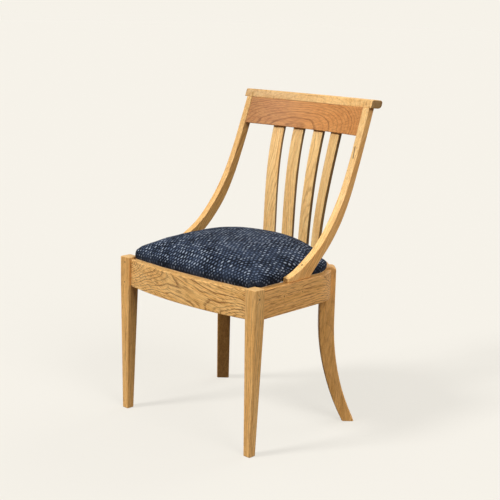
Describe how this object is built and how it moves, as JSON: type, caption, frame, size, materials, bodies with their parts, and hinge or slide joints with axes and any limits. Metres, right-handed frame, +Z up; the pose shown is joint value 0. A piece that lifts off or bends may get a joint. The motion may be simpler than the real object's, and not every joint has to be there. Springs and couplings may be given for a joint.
{
  "type": "dining chair",
  "caption": "Oak dining chair with a bowed front rail, swept back stiles and slats under a curved crest, sabre rear legs and an upholstered seat pad.",
  "frame": {"origin": "on the floor, below the middle of the chair's bounding box", "axes": "+Z up, the seat's front faces -Y, +X is the right-hand side seen from the front"},
  "size_m": [0.534, 0.5478, 0.8748],
  "materials": {
    "oak": "satin clear lacquer, light golden",
    "red_oak": "satin clear lacquer, warmer board of the crest",
    "fabric": "matt woven tweed, dark blue with grey flecks",
    "plywood": "bare",
    "steel": "zinc plated"
  },
  "bodies": {
    "root": {"front_leg_left": "oak", "front_leg_right": "oak", "rear_leg_left": "oak", "rear_leg_right": "oak", "front_rail": "oak", "side_rail_left": "oak", "side_rail_right": "oak", "rear_rail": "oak", "back_stile_left": "oak", "back_stile_right": "oak", "slat_1": "oak", "slat_2": "oak", "slat_3": "oak", "slat_4": "oak", "crest_board": "red_oak", "cap_rail": "oak", "front_block_left": "oak", "front_block_right": "oak", "rear_block_left": "oak", "rear_block_right": "oak", "stile_dowel_1_left": "oak", "stile_dowel_1_right": "oak", "stile_dowel_2_left": "oak", "stile_dowel_2_right": "oak", "front_rail_screw_left": "steel", "front_rail_screw_right": "steel", "side_rail_screw_left": "steel", "side_rail_screw_right": "steel", "rear_leg_screw_1_left": "steel", "rear_leg_screw_1_right": "steel", "rear_leg_screw_2_left": "steel", "rear_leg_screw_2_right": "steel", "seat_screw_1_left": "steel", "seat_screw_1_right": "steel", "seat_screw_2_left": "steel", "seat_screw_2_right": "steel", "seat_board": "plywood", "seat_cushion": "fabric"}
  },
  "joints": []
}
